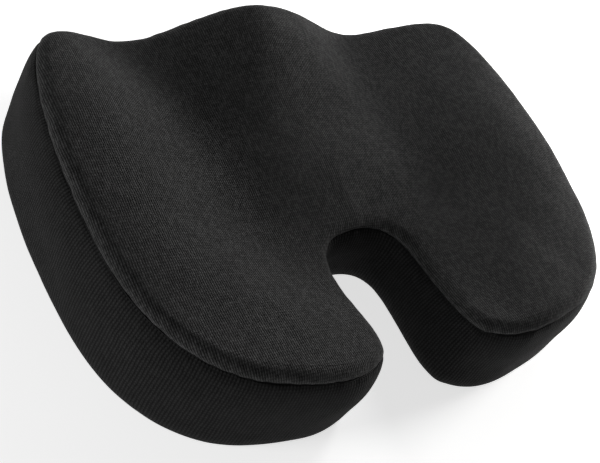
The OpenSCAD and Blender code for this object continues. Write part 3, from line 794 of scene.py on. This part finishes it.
def tube(points, faces, path, across, outward, radius, closed, sides=8):
    """Adds a round sweep along a path to the lists; radius has one value for each path point."""
    start, n = len(points), len(path)
    for p, a, o, r in zip(path, across, outward, radius):
        for k in range(sides):
            t = 2 * math.pi * k / sides
            points.append(p + r * (math.cos(t) * a + math.sin(t) * o))
    for i in range(n if closed else n - 1):
        a, b = start + i * sides, start + (i + 1) % n * sides
        for k in range(sides):
            q = (k + 1) % sides
            faces.append((a + k, a + q, b + q, b + k))
    if not closed:
        faces.append(tuple(start + k for k in range(sides)))
        faces.append(tuple(start + (n - 1) * sides + k for k in range(sides)))


def refined(rows, times, closed):
    """The rows of points with more points between them."""
    n = len(rows)
    at = np.arange((n if closed else n - 1) * times + (0 if closed else 1)) / times
    low = np.floor(at).astype(int)
    f = (at - low)[:, None]
    return rows[low % n] * (1 - f) + rows[(low + 1) % n] * f


def stitched(path, radius):
    """A thread's radius, a little thinner where each stitch dives into the cloth."""
    run = np.r_[0, np.cumsum(np.linalg.norm(np.diff(path, axis=0), axis=1))]
    return radius * (0.72 + 0.28 * np.abs(np.sin(run * math.pi / THREAD_STITCH)))


def ring_thread(name, level, deep, replaced):
    """A thread round the whole outline, at a level of the edge and a depth."""
    points, faces = [], []
    sec = tuple(np.array([v]) for v in (np.broadcast_to(level[0], RING), level[1] * SEAM_Z + level[2],
                                         np.full(RING, math.radians(level[3]))))
    rows, normal = placed(sec, deep)
    path = refined(rows[0], 4, True)
    out = refined(normal[0], 4, True)
    ahead = np.roll(path, -1, 0) - np.roll(path, 1, 0)
    ahead /= np.linalg.norm(ahead, axis=1)[:, None]
    tube(points, faces, path, np.cross(out, ahead), out, stitched(path, THREAD_R), True)
    return build(name, points, faces, None, thread_black, replaced)


ring_thread("seam_thread_top", (-SEAM_IN, 1, -LIP, RIM), PULL + THREAD_R + 0.15 * MM, ["top_seam_thread"])
ring_thread("seam_thread_base", HEM, 0.4 * PULL + LIP + THREAD_R, ["bottom_seam_thread"])


def corner_threads():
    """A thread up each corner seam, from above the hem to just under the top seam."""
    points, faces = [], []
    rows, normal = placed(wall, 1.4 * MM + THREAD_R * 0.5)
    above_hem, under_seam = 5, -8
    for j in (FIRST_FRONT, LAST_FRONT):
        path = refined(rows[above_hem:under_seam, j], 12, False)
        out = refined(normal[above_hem:under_seam, j], 12, False)
        side = np.broadcast_to([*TANGENT[j], 0.0], out.shape)
        tube(points, faces, path, side, out, stitched(path, THREAD_R), False)
    return build("corner_threads", points, faces, None, thread_black, ["corner_seam_threads"])


corner_threads()


def on_arc(x, z, out):
    """A point on the front wall's arc, x along the zip; with its outward and sideways directions."""
    a = math.asin(x / FRONT_R)
    outward = np.array([math.sin(a), math.cos(a), 0])
    side = np.array([math.cos(a), -math.sin(a), 0])
    return np.array([0, ARC_Y, z]) + (FRONT_R + out) * outward, outward, side


def stitch(points, faces, x, z, slope, out, length, thick):
    """One stitch: a short bow of thread that comes out of the cloth and goes back in."""
    middle, outward, side = on_arc(x, z, out)
    ahead = side * math.cos(slope) + np.array([0, 0, 1]) * math.sin(slope)
    steps = np.linspace(-1, 1, 7)
    path = [middle + ahead * s * length / 2 - outward * thick * 0.9 * s**4 for s in steps]
    radius = [thick / 2 * (1 - 0.5 * s**4) for s in steps]
    tube(points, faces, path, [np.cross(outward, ahead)] * 7, [outward] * 7, radius, False, 7)


def stitch_line(points, faces, a, b, out, pitch=3.4 * MM):
    """A row of stitches on the front wall from a to b, both (x, z)."""
    way = np.subtract(b, a)
    count = max(1, int(np.linalg.norm(way) / pitch))
    slope = math.atan2(way[1], way[0])
    for i in range(count):
        x, z = np.array(a) + way * (i + 0.5) / count
        stitch(points, faces, x, z, slope, out, 2.7 * MM, 0.5 * MM)


strap_low, strap_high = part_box("handle_strap")
STRAP_W = strap_high.z - strap_low.z
STRAP_Z = (strap_high.z + strap_low.z) / 2
STRAP_T, STRAP_HALF, STRAP_END, STRAP_ARCH = 1.6 * MM, 56 * MM, 20 * MM, 18 * MM
STRAP_CLEAR = 0.15 * MM
ZIP_SEWN = 136 * MM                   # half the length of the stitching along the zip


def strap():
    """The webbing: flat where it is sewn down, arched between."""
    reach = STRAP_HALF + STRAP_END
    xs = np.linspace(reach, -reach, 200)
    off = np.where(np.abs(xs) > STRAP_HALF, 0, STRAP_ARCH * (1 + np.cos(np.pi * xs / STRAP_HALF)) / 2)
    r = FRONT_R + STRAP_CLEAR + STRAP_T / 2 + off
    path = np.column_stack([xs, ARC_Y + np.sqrt(r * r - xs * xs)])
    ahead = np.gradient(path, axis=0)
    ahead /= np.linalg.norm(ahead, axis=1)[:, None]
    out = np.column_stack([ahead[:, 1], -ahead[:, 0]])
    run = np.r_[0, np.cumsum(np.linalg.norm(np.diff(path, axis=0), axis=1))]
    sides = 36
    turn = np.linspace(0, 2 * math.pi, sides, endpoint=False)
    across = np.sign(np.cos(turn)) * np.abs(np.cos(turn))**0.45 * STRAP_W / 2
    proud = np.sign(np.sin(turn)) * np.abs(np.sin(turn))**0.7 * STRAP_T / 2
    points, uv = [], []
    for i in range(len(xs)):
        nip = 1 - 0.012 * math.sin(run[i] / 0.0021) ** 2
        cup = -0.6 * MM * (across / (STRAP_W / 2))**2 * off[i] / STRAP_ARCH
        for k in range(sides):
            q = path[i] + out[i] * (proud[k] + cup[k])
            points.append((q[0], q[1], STRAP_Z + across[k] * nip))
            uv.append((across[k] + (0.03 if proud[k] < 0 else 0), run[i]))
    faces = [*wall_quads(len(xs), sides, 0, True)]
    faces += [tuple(range(sides)), tuple((len(xs) - 1) * sides + k for k in range(sides))]
    return build("strap_webbing", points, faces, uv, webbing, ["handle_strap"])


strap()


def strap_stitches():
    """A box with one diagonal on each end of the strap."""
    points, faces = [], []
    out = STRAP_CLEAR + STRAP_T + 0.1 * MM
    for side in (-1, 1):
        x0, x1 = side * (STRAP_HALF + 3 * MM), side * (STRAP_HALF + STRAP_END - 3 * MM)
        z0, z1 = STRAP_Z - STRAP_W / 2 + 3.5 * MM, STRAP_Z + STRAP_W / 2 - 3.5 * MM
        for a, b in (((x0, z0), (x0, z1)), ((x1, z0), (x1, z1)), ((x0, z0), (x1, z0)), ((x0, z1), (x1, z1))):
            stitch_line(points, faces, a, b, out)
        way = np.array([x1 - x0, z1 - z0])
        stitch_line(points, faces, np.array([x0, z0]) + way * 0.12, np.array([x0, z0]) + way * 0.88, out)
    return build("strap_stitches", points, faces, None, thread_black, ["handle_stitching"])


def zip_stitches():
    """A row above and a row below the slot."""
    points, faces = [], []
    for z in (ZIP_Z - SLOT / 2 - 1.5 * MM, ZIP_Z + SLOT / 2 + 1.5 * MM):
        stitch_line(points, faces, (-ZIP_SEWN, z), (ZIP_SEWN, z), 0.15 * MM, 3.2 * MM)
    return build("zip_stitches", points, faces, None, thread_black, ["zip_stitching"])


strap_stitches()
zip_stitches()


def softened(name, node, width, body_name, material):
    """A CAD node's own shape with its edges rounded."""
    bm = bmesh.new()
    bm.from_mesh(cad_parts[node].data)
    bmesh.ops.remove_doubles(bm, verts=bm.verts, dist=1e-6)
    bmesh.ops.dissolve_limit(bm, angle_limit=math.radians(2), verts=bm.verts, edges=bm.edges)
    sharp = [e for e in bm.edges if len(e.link_faces) == 2 and e.calc_face_angle() > math.radians(25)]
    bmesh.ops.bevel(bm, geom=sharp, offset=width, segments=3, profile=0.6, affect="EDGES", clamp_overlap=True)
    mesh = bpy.data.meshes.new(name)
    bm.to_mesh(mesh)
    bm.free()
    mesh.materials.append(material)
    mesh.polygons.foreach_set("use_smooth", np.ones(len(mesh.polygons), bool))
    obj = linked(name, mesh)
    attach(obj, body_name)
    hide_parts(node)
    return obj


softened("slider_enamelled", "zip_slider", 0.22 * MM, "slider", zip_metal)
softened("puller_enamelled", "zip_puller", 0.22 * MM, "puller", zip_metal)

# ---- Camera, light and floor ----------------------------------------------------------------

TARGET = Vector((-31.74, -22.93, 40.0)) * MM
AZIMUTH, ELEVATION, ROLL_ANGLE = (math.radians(a) for a in (-53.63, 43.13, 33.79))
DISTANCE = 0.82265
back = Vector((math.sin(AZIMUTH) * math.cos(ELEVATION), -math.cos(AZIMUTH) * math.cos(ELEVATION),
               math.sin(ELEVATION)))
right = (-back).cross(Vector((0, 0, 1))).normalized()
up = right.cross(-back)
turned_right = math.cos(ROLL_ANGLE) * right + math.sin(ROLL_ANGLE) * up
turned_up = -math.sin(ROLL_ANGLE) * right + math.cos(ROLL_ANGLE) * up
camera = linked("camera", bpy.data.cameras.new("camera"))
camera.data.lens = 65.305
camera.data.sensor_width = 36
camera.matrix_world = Matrix((turned_right, turned_up, back)).transposed().to_4x4()
camera.location = TARGET + back * DISTANCE
bpy.context.scene.camera = camera


def lamp(name, at, aim, size, watts, colour=(1, 1, 1)):
    """A round area light at a place, aimed at another."""
    data = bpy.data.lights.new(name, "AREA")
    data.shape = "DISK"
    data.size = size
    data.energy = watts
    data.color = colour
    obj = linked(name, data)
    obj.location = at
    obj.rotation_euler = (Vector(aim) - Vector(at)).to_track_quat("-Z", "Y").to_euler()


lamp("right", (1.39, 0.05, 0.18), (0, 0, 0.05), 0.5, 32, (1.0, 0.985, 0.97))
lamp("left", (-1.36, 0.0, 0.34), (0, 0, 0.05), 0.5, 6.5)
lamp("far", (0.45, 1.25, 0.30), (0, 0, 0.05), 0.5, 8)
lamp("near", (0.35, 0.12, 0.34), (0.1, 0, 0.05), 0.15, 0.7)

AS_LIGHT, AS_SEEN = 0.05, 0.71        # the surroundings are pale behind the object, dim as a light
FLOOR_GLOW = 0.70
FLOOR_REACH = 6.0

world = bpy.data.worlds.new("studio")
world.use_nodes = True
world_tree = world.node_tree
surroundings = world_tree.nodes["Background"]
surroundings.inputs["Color"].default_value = (1, 1, 1, 1)
light_path = world_tree.nodes.new("ShaderNodeLightPath")
seen = world_tree.nodes.new("ShaderNodeMapRange")
seen.inputs["To Min"].default_value = AS_LIGHT
seen.inputs["To Max"].default_value = AS_SEEN
world_tree.links.new(light_path.outputs["Is Camera Ray"], seen.inputs["Value"])
world_tree.links.new(seen.outputs[0], surroundings.inputs["Strength"])
bpy.context.scene.world = world

floor_mesh = bpy.data.meshes.new("floor")
floor_corners = [(x * FLOOR_REACH, y * FLOOR_REACH, 0) for x, y in ((-1, -1), (1, -1), (1, 1), (-1, 1))]
floor_mesh.from_pydata(floor_corners, [], [(0, 1, 2, 3)])
floor_net = Net("floor_pale", Roughness=0.9, Specular_IOR_Level=0.1)
floor_tone = floor_net.spread(floor_net.noise(floor_net.place(), 1.5, 2.0), 0.2, 0.8)
floor_net.shader.inputs["Emission Color"].default_value = (1, 1, 1, 1)
floor_net.shader.inputs["Emission Strength"].default_value = FLOOR_GLOW
floor_mesh.materials.append(floor_net.finish(floor_net.colours(floor_tone, grey(0.9), grey(0.93))))
bpy.context.scene.view_settings.view_transform = "Standard"
floor = linked("floor", floor_mesh)

# ---- CAD nodes that stay --------------------------------------------------------------------

KEPT = {"zip_tape_upper": tape_cloth, "zip_tape_lower": tape_cloth, "zip_teeth_upper": zip_plastic,
        "zip_teeth_lower": zip_plastic, "zip_stops_closed_end": zip_plastic,
        "zip_stop_open_end": zip_plastic}
for node_name, kept_material in KEPT.items():
    node_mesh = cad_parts[node_name].data
    node_mesh.materials.clear()
    node_mesh.materials.append(kept_material)
